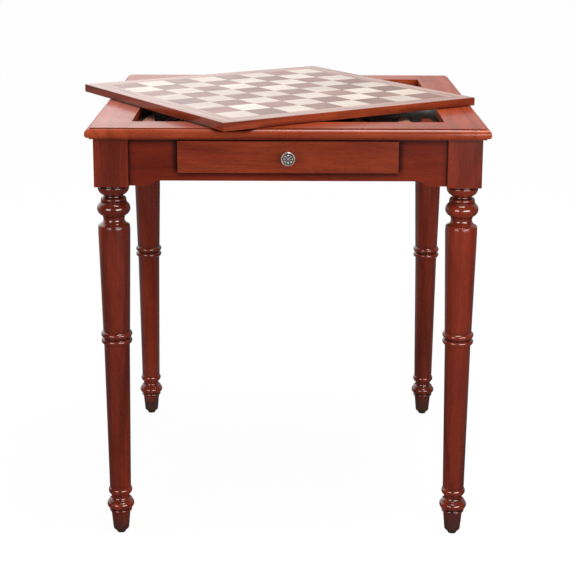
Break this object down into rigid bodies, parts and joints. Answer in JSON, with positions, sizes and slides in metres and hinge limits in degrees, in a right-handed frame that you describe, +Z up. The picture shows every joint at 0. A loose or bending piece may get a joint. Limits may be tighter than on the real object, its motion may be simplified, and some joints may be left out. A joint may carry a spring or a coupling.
{
  "type": "chess table with inlaid board",
  "caption": "Square mahogany games table on turned legs, with a shallow backgammon well, a drawer with a rosette knob and a loose inlaid chess board that lifts off.",
  "frame": {"origin": "on the floor, under the middle of the loose board; the table's own middle is 26.6 mm to the right and 2 mm to the front of it, because the board lies askew on the frame", "axes": "+Z up, the drawer faces -Y, +X to the right of someone who looks at the drawer"},
  "size_m": [0.7602, 0.7602, 0.78],
  "materials": {
    "mahogany": "high gloss lacquer over red-brown mahogany",
    "top_mahogany": "high gloss lacquer over red-brown mahogany",
    "frame_wood": "plain, unfinished",
    "drawer_wood": "clear sealed",
    "plywood": "plain, unfinished",
    "field_black": "satin, black stained veneer",
    "field_light": "satin lacquered veneer",
    "field_dark": "satin lacquered veneer",
    "maple": "gloss lacquered veneer",
    "walnut": "gloss lacquered veneer",
    "lipping_mahogany": "gloss lacquered solid wood",
    "pewter": "antique pewter over a cast alloy",
    "steel": "zinc plated",
    "black_plastic": "matt black"
  },
  "bodies": {
    "table": {"leg_front_right": "mahogany", "leg_back_right": "mahogany", "leg_back_left": "mahogany", "leg_front_left": "mahogany", "front_apron": "mahogany", "right_apron": "mahogany", "back_apron": "mahogany", "left_apron": "mahogany", "top_rail_front": "top_mahogany", "top_rail_right": "top_mahogany", "top_rail_back": "top_mahogany", "top_rail_left": "top_mahogany", "brace_front_right": "frame_wood", "brace_back_right": "frame_wood", "brace_back_left": "frame_wood", "brace_front_left": "frame_wood", "drawer_runner_left": "frame_wood", "drawer_runner_right": "frame_wood", "drawer_kicker_left": "frame_wood", "drawer_kicker_right": "frame_wood", "drawer_stops": "frame_wood", "cleat_right": "frame_wood", "cleat_back": "frame_wood", "cleat_left": "frame_wood", "rail_tongues": "frame_wood", "field_panel": "plywood", "field_ground": "field_black", "points_light": "field_light", "points_dark": "field_dark", "field_bar": "field_dark", "glides": "black_plastic"},
    "drawer": {"drawer_front": "mahogany", "drawer_box_front": "drawer_wood", "drawer_side_left": "drawer_wood", "drawer_side_right": "drawer_wood", "drawer_back": "drawer_wood", "drawer_bottom": "plywood", "knob_screw": "steel", "knob": "pewter"},
    "board": {"board_core": "plywood", "board_backing": "walnut", "board_lipping_front": "lipping_mahogany", "board_lipping_right": "lipping_mahogany", "board_lipping_back": "lipping_mahogany", "board_lipping_left": "lipping_mahogany", "board_border": "walnut", "squares_light": "maple", "squares_dark": "walnut"}
  },
  "joints": [
    {"name": "drawer_slide", "type": "slide", "parent": "table", "child": "drawer", "axis": [0, -1, 0], "range_m": [0, 0.22]},
    {"name": "board_lift", "type": "slide", "parent": "table", "child": "board", "axis": [0, 0, 1], "range_m": [0, 0.2]}
  ]
}
